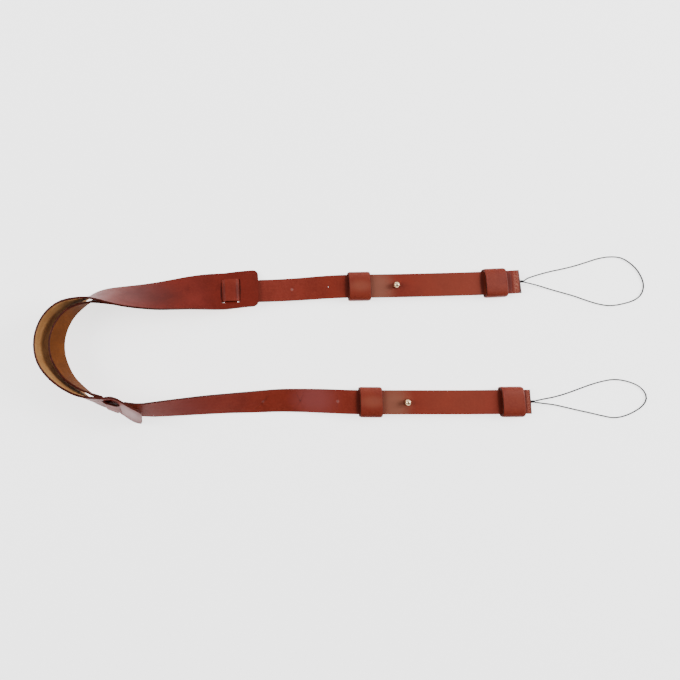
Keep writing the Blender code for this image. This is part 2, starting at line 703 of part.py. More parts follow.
def make_loop(name, parent, arm, route):
    """Model one cord loop as a tube along its route, from the knot out and back to it."""
    tip, forward = fold_tip(arm)
    ahead = Vector((1.0, 0.0, 0.0))
    aside = Vector((0.0, 1.0, 0.0))
    places = []
    for knot in route:
        place = tip + ahead * knot.forward + aside * knot.across
        places.append((place.x, place.y, knot.height))
    curve = bpy.data.curves.new(name, "CURVE")
    curve.dimensions = "3D"
    curve.bevel_depth = CORD_DIAMETER / 2
    curve.bevel_resolution = 2
    curve.use_fill_caps = True
    spline = curve.splines.new("POLY")
    smooth = smooth_route(places, CORD_POINTS)
    spline.points.add(len(smooth) - 1)
    for point, place in zip(spline.points, smooth):
        point.co = (*place, 1.0)
    return add_object(name, curve, parent, "loop_cord")


def centre_on_floor(parent, leather):
    """Move the parent so that the leather's box stands on the origin."""
    corners = np.array([corner.co for piece in leather for corner in piece.data.vertices])
    low, high = corners.min(axis=0), corners.max(axis=0)
    parent.location = (-(low[0] + high[0]) / 2, -(low[1] + high[1]) / 2, -low[2])


def main():
    """Build every piece under one empty and stand the strap on the origin."""
    clear_scene()
    parent = bpy.data.objects.new("strap_set", None)
    bpy.context.collection.objects.link(parent)
    leather = [make_pad(parent), make_strap(parent)]
    for arm, route in (("upper", UPPER_ROUTE), ("lower", LOWER_ROUTE)):
        for which in KEEPER_FROM_FOLD:
            place = arm_length(arm, keeper_from_fold(arm, which))
            leather.append(make_keeper(f"{arm}_keeper_{which}", parent, place))
        make_stud(f"{arm}_stud", parent, arm_length(arm, STUD_FROM_FOLD[arm]))
        make_knot(f"{arm}_loop_knot", parent, arm)
        make_loop(f"{arm}_string_loop", parent, arm, route)
    centre_on_floor(parent, leather)


main()
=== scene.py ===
"""Leather camera neck strap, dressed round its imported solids, in metres with +Z up.

Each class is one sub-assembly of the strap: the shoulder pad, the narrow strap, a keeper, a ball
stud, and a string loop with its knot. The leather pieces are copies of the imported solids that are
merged, creased and rounded. The studs and knots are modelled anew, and the string loops are curves.
"""

import logging
import math
from dataclasses import dataclass
from enum import Enum

import bpy
import numpy as np
from mathutils import Matrix, Vector


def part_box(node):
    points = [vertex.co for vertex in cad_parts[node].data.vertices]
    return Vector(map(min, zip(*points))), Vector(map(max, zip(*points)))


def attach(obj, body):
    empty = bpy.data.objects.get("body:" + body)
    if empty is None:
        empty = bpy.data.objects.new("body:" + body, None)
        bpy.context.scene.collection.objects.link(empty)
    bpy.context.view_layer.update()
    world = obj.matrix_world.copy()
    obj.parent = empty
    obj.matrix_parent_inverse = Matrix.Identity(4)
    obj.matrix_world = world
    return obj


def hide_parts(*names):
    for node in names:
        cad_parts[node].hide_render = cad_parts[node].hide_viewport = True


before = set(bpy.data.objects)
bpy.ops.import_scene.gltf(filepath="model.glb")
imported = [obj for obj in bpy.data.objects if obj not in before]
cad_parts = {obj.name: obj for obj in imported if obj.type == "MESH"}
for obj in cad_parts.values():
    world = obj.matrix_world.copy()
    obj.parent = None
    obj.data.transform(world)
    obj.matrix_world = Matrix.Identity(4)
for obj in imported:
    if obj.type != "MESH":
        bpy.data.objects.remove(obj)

LOG = logging.getLogger("neck_strap")
MM = 0.001
# Three measures: a place, a size or a direction.
Place = tuple[float, float, float]
# Places of a Mix node's colour sockets, which share their names with its other kinds of socket.
MIX_SHARE, MIX_UNDER, MIX_OVER, MIX_RESULT = 0, 6, 7, 2


class Side(Enum):
    """The three surfaces of a leather band, in the order of a piece's material slots."""

    GRAIN = 0
    FLESH = 1
    EDGE = 2


class Slot(Enum):
    """The record's material slots."""

    PAD = "pad_leather"
    STRAP = "strap_leather"
    KEEPER = "keeper_leather"
    BRASS = "stud_brass"
    CORD = "loop_cord"


# Materials


def linear(hex_colour: str) -> tuple[float, float, float, float]:
    """Turn an sRGB hex colour into linear values.

    Args:
        hex_colour: Six hex digits, such as "7a3526".

    Returns:
        Red, green, blue and alpha as linear values.
    """
    values = []
    for start in (0, 2, 4):
        value = int(hex_colour[start : start + 2], 16) / 255
        values.append(value / 12.92 if value <= 0.04045 else ((value + 0.055) / 1.055) ** 2.4)
    return (*values, 1.0)


def add_node(
    tree: bpy.types.NodeTree,
    kind: str,
    settings: dict | None = None,
    values: dict | None = None,
    links: dict | None = None,
) -> bpy.types.Node:
    """Add one shader node.

    Args:
        tree: The material's node tree.
        kind: The node's type name.
        settings: Node properties by name.
        values: Socket values by socket name or index.
        links: Output sockets to link, by input socket name or index.

    Returns:
        The new node.
    """
    node = tree.nodes.new(kind)
    for key, value in (settings or {}).items():
        setattr(node, key, value)
    for key, value in (values or {}).items():
        node.inputs[key].default_value = value
    for key, source in (links or {}).items():
        tree.links.new(source, node.inputs[key])
    return node


@dataclass(frozen=True)
class WearAndPaintedLightZone:
    """A soft-edged patch of the grain with its own colour, used for painted light, painted shade
    and real wear at the folds.

    The patch is an ellipsoid with a centre and half sizes in metres. A cracked patch shows its
    colour in fine cracks alone.
    """

    centre: Place
    reach: Place
    colour: str
    strength: float
    cracked: bool = False


@dataclass(frozen=True)
class Finish:
    """What every finish has: a name, and the start of its node tree."""

    name: str

    def start(
        self,
    ) -> tuple[bpy.types.Material, bpy.types.NodeTree, bpy.types.Node, bpy.types.NodeSocket]:
        """Make the material.

        Returns:
            The material, its tree, its Principled shader and the Object coordinate socket.
        """
        material = bpy.data.materials.new(self.name)
        material.use_nodes = True
        tree = material.node_tree
        shader = tree.nodes["Principled BSDF"]
        place = add_node(tree, "ShaderNodeTexCoord").outputs["Object"]
        return material, tree, shader, place

    def blend(
        self,
        tree: bpy.types.NodeTree,
        tones: tuple[str, str],
        value: bpy.types.NodeSocket,
        span: tuple[float, float] = (0.0, 1.0),
    ) -> None:
        """Colour the surface from one tone to another as a value rises.

        Args:
            tree: The material's node tree.
            tones: The first and the second colour.
            value: The value, such as a noise.
            span: Where the first tone ends, and where the second is full.
        """
        share = add_node(
            tree,
            "ShaderNodeMapRange",
            values={"From Min": span[0], "From Max": span[1]},
            links={"Value": value},
        )
        colour = add_node(
            tree,
            "ShaderNodeMix",
            {"data_type": "RGBA"},
            {MIX_UNDER: linear(tones[0]), MIX_OVER: linear(tones[1])},
            {MIX_SHARE: share.outputs["Result"]},
        )
        shader = tree.nodes["Principled BSDF"]
        tree.links.new(colour.outputs[MIX_RESULT], shader.inputs["Base Color"])


@dataclass(frozen=True)
class GrainLeather(Finish):
    """Vegetable tanned cowhide, drum dyed and waxed.

    The dye gives an even reddish brown with soft darker clouds, the grain gives fine pores, and
    the wax a low sheen that shows where the leather leans.
    """

    body: str
    cloud: str
    light: str
    roughness: float = 0.46
    gloss: float = 0.3
    cloud_mm: float = 16.0
    speck_mm: float = 1.6
    # Real pores are about 0.2 mm apart and would not show, so they are drawn about 0.9 mm apart.
    pore_mm: float = 0.9
    crack_mm: float = 1.5
    relief_mm: float = 0.06
    relief_strength: float = 0.35
    # Patches of painted light, painted shade and real fold wear, laid over the grain's colour.
    zones: tuple[WearAndPaintedLightZone, ...] = ()

    def zone_share(
        self,
        tree: bpy.types.NodeTree,
        place: bpy.types.NodeSocket,
        ragged: bpy.types.NodeSocket,
        zone: WearAndPaintedLightZone,
    ) -> bpy.types.NodeSocket:
        """Work out how strongly a patch of painted light, painted shade or wear shows at a point.

        Args:
            tree: The material's node tree.
            place: The Object coordinate.
            ragged: A small noise round 0 that roughens the zone's outline.
            zone: The patch of painted light, painted shade or wear.

        Returns:
            A socket with the share, from 0 to the zone's strength.
        """
        offset = add_node(
            tree, "ShaderNodeVectorMath", {"operation": "SUBTRACT"}, {1: zone.centre}, {0: place}
        )
        scaled = add_node(
            tree,
            "ShaderNodeVectorMath",
            {"operation": "DIVIDE"},
            {1: zone.reach},
            {0: offset.outputs["Vector"]},
        )
        away = add_node(
            tree, "ShaderNodeVectorMath", {"operation": "LENGTH"}, {}, {0: scaled.outputs["Vector"]}
        )
        edge = add_node(
            tree, "ShaderNodeMath", {"operation": "ADD"}, {}, {0: away.outputs["Value"], 1: ragged}
        )
        return add_node(
            tree,
            "ShaderNodeMapRange",
            {"interpolation_type": "SMOOTHSTEP"},
            {"From Min": 1.0, "From Max": 0.2, "To Max": zone.strength},
            {"Value": edge.outputs[0]},
        ).outputs["Result"]

    def build(self) -> bpy.types.Material:
        """Build the material.

        Returns:
            The material.
        """
        material, tree, shader, place = self.start()
        clouds = add_node(
            tree,
            "ShaderNodeTexNoise",
            values={"Scale": 1 / (self.cloud_mm * MM), "Detail": 4.0, "Roughness": 0.6},
            links={"Vector": place},
        ).outputs["Fac"]
        specks = add_node(
            tree,
            "ShaderNodeTexNoise",
            values={"Scale": 1 / (self.speck_mm * MM), "Detail": 5.0, "Roughness": 0.6},
            links={"Vector": place},
        ).outputs["Fac"]
        cloud_share = add_node(
            tree,
            "ShaderNodeMapRange",
            values={"From Min": 0.36, "From Max": 0.66},
            links={"Value": clouds},
        )
        clouded = add_node(
            tree,
            "ShaderNodeMix",
            {"data_type": "RGBA"},
            {MIX_UNDER: linear(self.body), MIX_OVER: linear(self.cloud)},
            {MIX_SHARE: cloud_share.outputs["Result"]},
        )
        speck_share = add_node(
            tree,
            "ShaderNodeMapRange",
            values={"From Min": 0.42, "From Max": 0.72, "To Max": 0.38},
            links={"Value": specks},
        )
        colour = add_node(
            tree,
            "ShaderNodeMix",
            {"data_type": "RGBA"},
            {MIX_OVER: linear(self.light)},
            {
                MIX_SHARE: speck_share.outputs["Result"],
                MIX_UNDER: clouded.outputs[MIX_RESULT],
            },
        )
        cracks = add_node(
            tree,
            "ShaderNodeTexVoronoi",
            {"feature": "DISTANCE_TO_EDGE"},
            {"Scale": 1 / (self.crack_mm * MM)},
            {"Vector": place},
        )
        crack_share = add_node(
            tree,
            "ShaderNodeMapRange",
            values={"From Min": 0.16, "From Max": 0.04},
            links={"Value": cracks.outputs["Distance"]},
        )
        ragged = add_node(
            tree, "ShaderNodeMath", {"operation": "MULTIPLY_ADD"}, {1: 0.5, 2: -0.25}, {0: specks}
        )
        for zone in self.zones:
            share = self.zone_share(tree, place, ragged.outputs[0], zone)
            if zone.cracked:
                share = add_node(
                    tree,
                    "ShaderNodeMath",
                    {"operation": "MULTIPLY"},
                    {},
                    {0: share, 1: crack_share.outputs["Result"]},
                ).outputs[0]
            colour = add_node(
                tree,
                "ShaderNodeMix",
                {"data_type": "RGBA"},
                {MIX_OVER: linear(zone.colour)},
                {MIX_SHARE: share, MIX_UNDER: colour.outputs[MIX_RESULT]},
            )
        tree.links.new(colour.outputs[MIX_RESULT], shader.inputs["Base Color"])
        pores = add_node(
            tree,
            "ShaderNodeTexVoronoi",
            {"feature": "SMOOTH_F1"},
            {"Scale": 1 / (self.pore_mm * MM), "Smoothness": 0.6},
            {"Vector": place},
        )
        relief = add_node(
            tree,
            "ShaderNodeMath",
            {"operation": "ADD"},
            {},
            {0: pores.outputs["Distance"], 1: specks},
        )
        bump = add_node(
            tree,
            "ShaderNodeBump",
            values={"Strength": self.relief_strength, "Distance": self.relief_mm * MM},
            links={"Height": relief.outputs[0]},
        )
        tree.links.new(bump.outputs["Normal"], shader.inputs["Normal"])
        wear = add_node(
            tree,
            "ShaderNodeMapRange",
            values={
                "From Min": 0.3,
                "From Max": 0.7,
                "To Min": self.roughness - 0.05,
                "To Max": self.roughness + 0.07,
            },
            links={"Value": clouds},
        )
        tree.links.new(wear.outputs["Result"], shader.inputs["Roughness"])
        shader.inputs["IOR"].default_value = 1.5
        shader.inputs["Specular IOR Level"].default_value = self.gloss
        return material


@dataclass(frozen=True)
class FleshLeather(Finish):
    """The undyed flesh side of the hide, skived and rubbed.

    It looks matt and tan, with short loose fibres that catch the light in fine streaks.
    """

    body: str
    fibre: str
    fibre_mm: float = 1.1
    shade_mm: float = 11.0
    relief_mm: float = 0.12

    def build(self) -> bpy.types.Material:
        """Build the material.

        Returns:
            The material.
        """
        material, tree, shader, place = self.start()
        # The fibres run along the band and stand on edge in the bend, so they are short in height.
        stretched = add_node(
            tree, "ShaderNodeMapping", values={"Scale": (1.0, 1.0, 0.45)}, links={"Vector": place}
        )
        fibres = add_node(
            tree,
            "ShaderNodeTexNoise",
            values={"Scale": 1 / (self.fibre_mm * MM), "Detail": 6.0, "Roughness": 0.7},
            links={"Vector": stretched.outputs["Vector"]},
        )
        shades = add_node(
            tree,
            "ShaderNodeTexNoise",
            values={"Scale": 1 / (self.shade_mm * MM), "Detail": 3.0},
            links={"Vector": place},
        )
        mixed = add_node(
            tree,
            "ShaderNodeMath",
            {"operation": "MULTIPLY"},
            {},
            {0: fibres.outputs["Fac"], 1: shades.outputs["Fac"]},
        )
        self.blend(tree, (self.body, self.fibre), mixed.outputs[0], (0.12, 0.42))
        bump = add_node(
            tree,
            "ShaderNodeBump",
            values={"Strength": 0.5, "Distance": self.relief_mm * MM},
            links={"Height": fibres.outputs["Fac"]},
        )
        tree.links.new(bump.outputs["Normal"], shader.inputs["Normal"])
        shader.inputs["Roughness"].default_value = 0.88
        shader.inputs["Specular IOR Level"].default_value = 0.1
        return material


@dataclass(frozen=True)
class EdgePaint(Finish):
    """A cut edge, burnished and painted: a dark, nearly matt line with faint worn streaks."""

    body: str
    worn: str
    streak_mm: float = 2.4
    relief_mm: float = 0.05

    def build(self) -> bpy.types.Material:
        """Build the material.

        Returns:
            The material.
        """
        material, tree, shader, place = self.start()
        streaks = add_node(
            tree,
            "ShaderNodeTexNoise",
            values={"Scale": 1 / (self.streak_mm * MM), "Detail": 4.0},
            links={"Vector": place},
        )
        self.blend(tree, (self.body, self.worn), streaks.outputs["Fac"], (0.45, 0.7))
        bump = add_node(
            tree,
            "ShaderNodeBump",
            values={"Strength": 0.3, "Distance": self.relief_mm * MM},
            links={"Height": streaks.outputs["Fac"]},
        )
        tree.links.new(bump.outputs["Normal"], shader.inputs["Normal"])
        shader.inputs["Roughness"].default_value = 0.6
        shader.inputs["Specular IOR Level"].default_value = 0.12
        return material


@dataclass(frozen=True)
class PolishedBrass(Finish):
    """Brass, turned and polished: a warm pale metal, a little duller where it has been handled."""

    body: str
    tarnish: str
    mark_mm: float = 0.9

    def build(self) -> bpy.types.Material:
        """Build the material.

        Returns:
            The material.
        """
        material, tree, shader, place = self.start()
        marks = add_node(
            tree,
            "ShaderNodeTexNoise",
            values={"Scale": 1 / (self.mark_mm * MM), "Detail": 4.0},
            links={"Vector": place},
        )
        self.blend(tree, (self.body, self.tarnish), marks.outputs["Fac"], (0.45, 0.75))
        dull = add_node(
            tree,
            "ShaderNodeMapRange",
            values={"To Min": 0.22, "To Max": 0.36},
            links={"Value": marks.outputs["Fac"]},
        )
        tree.links.new(dull.outputs["Result"], shader.inputs["Roughness"])
        shader.inputs["Metallic"].default_value = 1.0
        return material


@dataclass(frozen=True)
class TwistedCord(Finish):
    """Thin twisted polyester cord: nearly black, with a painted glint on the strands winding round
    it.
    """

    body: str
    glint: str
    # The strands of a 1.1 mm cord are about 0.4 mm wide; they are drawn 0.7 mm wide to show.
    strand_mm: float = 0.7
    # Blender's wave texture draws about this many bands in each unit of its scale.
    bands_per_unit: float = 6.0
    relief_mm: float = 0.1

    def build(self) -> bpy.types.Material:
        """Build the material.

        Returns:
            The material.
        """
        material, tree, shader, place = self.start()
        strands = add_node(
            tree,
            "ShaderNodeTexWave",
            {"wave_type": "BANDS", "bands_direction": "DIAGONAL"},
            {
                "Scale": 1 / (self.strand_mm * MM) / self.bands_per_unit,
                "Distortion": 1.5,
                "Detail": 2.0,
            },
            {"Vector": place},
        )
        # The lighter tone is a painted glint on the crowns of the strands.
        self.blend(tree, (self.body, self.glint), strands.outputs["Fac"])
        bump = add_node(
            tree,
            "ShaderNodeBump",
            values={"Strength": 0.4, "Distance": self.relief_mm * MM},
            links={"Height": strands.outputs["Fac"]},
        )
        tree.links.new(bump.outputs["Normal"], shader.inputs["Normal"])
        shader.inputs["Roughness"].default_value = 0.6
        shader.inputs["Specular IOR Level"].default_value = 0.15
        return material


@dataclass(frozen=True)
class LitAcrylic(Finish):
    """White acrylic sheet of a light table, lit from below: an even, nearly white, matt surface."""

    body: str
    shade: str
    glow: float

    def build(self) -> bpy.types.Material:
        """Build the material.

        Returns:
            The material.
        """
        material, tree, shader, place = self.start()
        haze = add_node(
            tree,
            "ShaderNodeTexNoise",
            values={"Scale": 2.0, "Detail": 2.0},
            links={"Vector": place},
        )
        self.blend(tree, (self.body, self.shade), haze.outputs["Fac"])
        shader.inputs["Roughness"].default_value = 0.9
        shader.inputs["Specular IOR Level"].default_value = 0.1
        shader.inputs["Emission Color"].default_value = linear(self.body)
        shader.inputs["Emission Strength"].default_value = self.glow
        return material


# Modelling helpers


def select_only(piece: bpy.types.Object) -> None:
    """Select one object alone and make it active.

    Args:
        piece: The object.
    """
    bpy.ops.object.select_all(action="DESELECT")
    piece.select_set(True)
    bpy.context.view_layer.objects.active = piece


def edit(piece: bpy.types.Object, kind: str = "FACE") -> None:
    """Go into edit mode on one object with nothing selected.

    Args:
        piece: The object.
        kind: What the selection is made of: VERT, EDGE or FACE.
    """
    select_only(piece)
    bpy.ops.object.mode_set(mode="EDIT")
    bpy.ops.mesh.select_mode(type=kind)
    bpy.ops.mesh.select_all(action="DESELECT")


def leave_edit() -> None:
    """Go back to object mode."""
    bpy.ops.object.mode_set(mode="OBJECT")


def apply_modifier(piece: bpy.types.Object, kind: str, **settings: object) -> None:
    """Add one modifier with its settings and apply it.

    Args:
        piece: The object.
        kind: The modifier's type.
        **settings: The modifier's properties by name.
    """
    select_only(piece)
    modifier = piece.modifiers.new(kind.title(), kind)
    for key, value in settings.items():
        setattr(modifier, key, value)
    bpy.ops.object.modifier_apply(modifier=modifier.name)


def turn_profile(
    name: str, profile: list[tuple[float, float]], sides: int
) -> bpy.types.Object:
    """Model a round piece by drawing a disc up through the rings of a profile.

    Args:
        name: The new object's name.
        profile: Radius and height of each ring, from the bottom up, all radii above 0.
        sides: How many sides a ring has.

    Returns:
        The object, upright at the origin.
    """
    radius, height = profile[0]
    bpy.ops.object.select_all(action="DESELECT")
    bpy.ops.mesh.primitive_circle_add(
        vertices=sides, radius=radius, fill_type="NGON", location=(0, 0, height)
    )
    piece = bpy.context.active_object
    piece.name = name
    bpy.ops.object.transform_apply(location=True, rotation=True, scale=True)
    bpy.ops.object.mode_set(mode="EDIT")
    bpy.ops.mesh.select_all(action="SELECT")
    for following, level in profile[1:]:
        bpy.ops.mesh.extrude_region_move(TRANSFORM_OT_translate={"value": (0, 0, level - height)})
        scale = following / radius
        bpy.ops.transform.resize(value=(scale, scale, 1), center_override=(0, 0, level))
        radius, height = following, level
    bpy.ops.mesh.select_all(action="SELECT")
    bpy.ops.mesh.normals_make_consistent(inside=False)
    leave_edit()
    return piece


def place_piece(piece: bpy.types.Object, matrix: Matrix) -> None:
    """Move a finished piece to its place and leave the place in its mesh.

    Args:
        piece: The object.
        matrix: Where it goes.
    """
    piece.matrix_world = matrix
    select_only(piece)
    bpy.ops.object.transform_apply(location=True, rotation=True, scale=True)


def hand_over(piece: bpy.types.Object, slot: Slot, *nodes: str) -> None:
    """Let a piece ride on the strap's body and stand for its CAD nodes.

    Args:
        piece: The finished object.
        slot: The record's material slot that it belongs to; not used.
        *nodes: The CAD nodes that it stands for.
    """
    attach(piece, "root")
    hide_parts(*nodes)


# Leather


@dataclass(frozen=True)
class Crease:
    """A shallow line pressed across the top of a flat arm, at one place along it."""

    along: float
    across: tuple[float, float]
    width: float
    depth: float


@dataclass(frozen=True)
class Seed:
    """A point near a band's surface and the way that the surface looks there."""

    place: Place
    facing: Place


@dataclass(frozen=True)
class WornSlot:
    """A slot whose lips have settled round the strap: its middle, and how open it still is."""

    middle: Place
    open_shares: Place


@dataclass(frozen=True)
class ClosedHole:
    """An adjusting hole that the leather has drawn together: its middle and how open it is."""

    along: float
    across: float
    open_share: float


@dataclass
class LeatherPiece:
    """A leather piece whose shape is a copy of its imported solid."""

    node: str
    slot: Slot
    finishes: tuple[bpy.types.Material, ...]
    edge_round: float = 0.45 * MM
    merge_reach: float = 0.03 * MM
    flat_enough: float = math.radians(12)
    square_enough: float = math.radians(60)
    sharp: float = math.radians(50)
    smooth: float = math.radians(40)
    # How near to a crease's middle cut a corner counts as on it, and how deep below the top.
    line_reach: float = 0.02 * MM
    line_depth: float = 0.4 * MM

    def copy_solid(self) -> bpy.types.Object:
        """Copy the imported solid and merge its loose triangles.

        Returns:
            The new object.
        """
        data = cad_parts[self.node].data.copy()
        data.materials.clear()
        piece = bpy.data.objects.new(f"{self.node}_leather", data)
        bpy.context.collection.objects.link(piece)
        for finish in self.finishes:
            data.materials.append(finish)
        edit(piece)
        bpy.ops.mesh.select_all(action="SELECT")
        bpy.ops.mesh.remove_doubles(threshold=self.merge_reach)
        bpy.ops.mesh.tris_convert_to_quads(
            face_threshold=self.flat_enough, shape_threshold=self.square_enough
        )
        leave_edit()
        return piece

    def paint(self, piece: bpy.types.Object, side: Side) -> None:
        """Give the selected faces one side's finish, in edit mode."""
        piece.active_material_index = side.value
        bpy.ops.object.material_slot_assign()

    def press(
        self, piece: bpy.types.Object, crease: Crease, reach: float = 14.0 * MM
    ) -> None:
        """Press one crease: cut the top across three times and push the middle cut down.

        Args:
            piece: The leather piece.
            crease: The line to press.
            reach: How far along the piece its faces are taken on each side of the line.
        """
        low, high = crease.across
        for shift in (-0.5, 0.0, 0.5):
            edit(piece)
            leave_edit()
            for face in piece.data.polygons:
                near = abs(face.center.x - crease.along) < reach
                face.select = near and low < face.center.y < high
            bpy.ops.object.mode_set(mode="EDIT")
            spot = (crease.along + shift * crease.width, 0.0, 0.0)
            bpy.ops.mesh.bisect(plane_co=spot, plane_no=(1.0, 0.0, 0.0))
            leave_edit()
        edit(piece, "VERT")
        leave_edit()
        line = [
            corner
            for corner in piece.data.vertices
            if abs(corner.co.x - crease.along) < self.line_reach and low < corner.co.y < high
        ]
        top = max(corner.co.z for corner in line)
        for corner in line:
            corner.select = corner.co.z > top - self.line_depth
        bpy.ops.object.mode_set(mode="EDIT")
        bpy.ops.transform.translate(value=(0.0, 0.0, -crease.depth))
        leave_edit()

    def round_edges(self, piece: bpy.types.Object) -> None:
        """Round off the cut edges with a narrow bevel.

        Args:
            piece: The leather piece.
        """
        edit(piece, "EDGE")
        bpy.ops.mesh.edges_select_sharp(sharpness=self.sharp)
        bpy.ops.mesh.bevel(
            offset=self.edge_round, segments=2, material=Side.EDGE.value, clamp_overlap=True
        )
        leave_edit()

    def shade(self, piece: bpy.types.Object) -> None:
        """Shade the leather smooth, its broad faces ruling over the narrow ones.

        Args:
            piece: The leather piece.
        """
        select_only(piece)
        bpy.ops.object.shade_smooth_by_angle(angle=self.smooth)
        apply_modifier(piece, "WEIGHTED_NORMAL", keep_sharp=True, weight=80)


@dataclass
class LeatherBand(LeatherPiece):
    """A flat leather band: its grain and flesh sides are found by spreading from seed points."""

    grain_seeds: tuple[Seed, ...] = ()
    flesh_seeds: tuple[Seed, ...] = ()
    creases: tuple[Crease, ...] = ()
    holes: tuple[ClosedHole, ...] = ()
    slots: tuple[WornSlot, ...] = ()
    # Less than the 90 degrees from a side to its cut edge, and more than the band's own twists.
    side_turn: float = math.radians(55)
    # How closely a face has to look a seed's way, as a cosine.
    same_way: float = 0.75

    def nearest_face(self, piece: bpy.types.Object, seed: Seed) -> int:
        """Find the face nearest to a seed that looks its way.

        Args:
            piece: The band.
            seed: The point and the way to look.

        Returns:
            The face's index.
        """
        target = Vector(seed.place)
        facing = Vector(seed.facing).normalized()
        faces = [face for face in piece.data.polygons if face.normal.dot(facing) > self.same_way]
        return min(faces, key=lambda face: (face.center - target).length).index

    def find_sides(self, piece: bpy.types.Object) -> None:
        """Paint the edges first, then the grain and flesh sides as far as they spread.

        Args:
            piece: The band.
        """
        seeds = [(Side.GRAIN, self.nearest_face(piece, seed)) for seed in self.grain_seeds]
        seeds += [(Side.FLESH, self.nearest_face(piece, seed)) for seed in self.flesh_seeds]
        edit(piece)
        bpy.ops.mesh.select_all(action="SELECT")
        self.paint(piece, Side.EDGE)
        for side, index in seeds:
            bpy.ops.mesh.select_all(action="DESELECT")
            leave_edit()
            piece.data.polygons[index].select = True
            bpy.ops.object.mode_set(mode="EDIT")
            bpy.ops.mesh.faces_select_linked_flat(sharpness=self.side_turn)
            self.paint(piece, side)
        leave_edit()

    def draw_together(
        self, piece: bpy.types.Object, hole: ClosedHole, reach: float = 1.62 * MM
    ) -> None:
        """Draw the wall of one adjusting hole in towards its middle.

        Args:
            piece: The band.
            hole: The hole.
            reach: How far from its middle the wall is taken.
        """
        edit(piece, "VERT")
        leave_edit()
        for corner in piece.data.vertices:
            aside = math.hypot(corner.co.x - hole.along, corner.co.y - hole.across)
            corner.select = aside < reach
        bpy.ops.object.mode_set(mode="EDIT")
        bpy.ops.transform.resize(
            value=(hole.open_share, hole.open_share, 1.0),
            center_override=(hole.along, hole.across, 0.0),
        )
        leave_edit()

    def settle(
        self, piece: bpy.types.Object, slot: WornSlot, reach: float = 12.6 * MM
    ) -> None:
        """Draw the cut walls of one slot in towards its middle, so that the lips slope.

        Args:
            piece: The band.
            slot: The slot.
            reach: How far from its middle the walls are taken.
        """
        middle = Vector(slot.middle)
        edit(piece, "VERT")
        leave_edit()
        for face in piece.data.polygons:
            if face.material_index != Side.EDGE.value:
                continue
            for index in face.vertices:
                corner = piece.data.vertices[index]
                corner.select = corner.select or (corner.co - middle).length < reach
        bpy.ops.object.mode_set(mode="EDIT")
        bpy.ops.transform.resize(value=slot.open_shares, center_override=slot.middle)
        leave_edit()

    def build(self) -> bpy.types.Object:
        """Model the band.

        Returns:
            The band's object.
        """
        piece = self.copy_solid()
        self.find_sides(piece)
        self.round_edges(piece)
        for hole in self.holes:
            self.draw_together(piece, hole)
        for slot in self.slots:
            self.settle(piece, slot)
        for crease in self.creases:
            self.press(piece, crease)
        self.shade(piece)
        hand_over(piece, self.slot, self.node)
        return piece


@dataclass
class Keeper(LeatherPiece):
    """One closed leather keeper with a domed top and two faint creases beside its ends."""

    crease_from_end: float = 2.3 * MM
    crease_width: float = 0.6 * MM
    crease_depth: float = 0.07 * MM
    # How closely a face has to look along the arm to be cut edge, as a cosine.
    end_way: float = 0.8
    corner_length: float = 1.5 * MM
    corner_depth: float = 0.6 * MM

    def find_sides(self, piece: bpy.types.Object) -> None:
        """Paint the outside as grain, the bore as flesh and the two ends as edge.

        Args:
            piece: The keeper's object.
        """
        low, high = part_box(self.node)
        middle = (low + high) / 2
        for face in piece.data.polygons:
            outward = face.center - middle
            outward.x = 0.0
            if abs(face.normal.x) > self.end_way:
                face.material_index = Side.EDGE.value
            elif face.normal.dot(outward) > 0:
                face.material_index = Side.GRAIN.value
            else:
                face.material_index = Side.FLESH.value

    def end_faces(
        self, piece: bpy.types.Object, facing: float
    ) -> list[bpy.types.MeshPolygon]:
        """List the cut faces of one end.

        Args:
            piece: The keeper's object, with its sides painted.
            facing: -1 for the end towards the pad, 1 for the other.

        Returns:
            The end's mesh faces.
        """
        return [
            face
            for face in piece.data.polygons
            if face.material_index == Side.EDGE.value and face.normal.x * facing > self.end_way
        ]

    def draw_ends_in(self, piece: bpy.types.Object) -> None:
        """Make each end a little narrower, so that the corners look rubbed off from above.

        Args:
            piece: The keeper's object, with its sides painted.
        """
        low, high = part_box(self.node)
        middle = (low.y + high.y) / 2
        half = (high.y - low.y) / 2
        for facing in (-1.0, 1.0):
            ends = self.end_faces(piece, facing)
            heading = sum((face.normal for face in ends), Vector()).normalized()
            centre = sum((face.center for face in ends), Vector()) / len(ends)
            edit(piece)
            bpy.ops.mesh.select_all(action="SELECT")
            spot = centre - heading * self.corner_length
            bpy.ops.mesh.bisect(plane_co=spot, plane_no=heading)
            leave_edit()
            edit(piece)
            leave_edit()
            for face in self.end_faces(piece, facing):
                face.select = True
            bpy.ops.object.mode_set(mode="EDIT")
            bpy.ops.transform.resize(
                value=(1.0, 1.0 - self.corner_depth / half, 1.0),
                center_override=(0.0, middle, 0.0),
            )
            leave_edit()

    def build(self) -> bpy.types.Object:
        """Model the keeper.

        Returns:
            The keeper's object.
        """
        piece = self.copy_solid()
        self.find_sides(piece)
        self.draw_ends_in(piece)
        low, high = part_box(self.node)
        for place in (low.x + self.crease_from_end, high.x - self.crease_from_end):
            line = Crease(place, (low.y, high.y), self.crease_width, self.crease_depth)
            self.press(piece, line)
        self.round_edges(piece)
        self.shade(piece)
        hand_over(piece, self.slot, self.node)
        return piece


# Metal


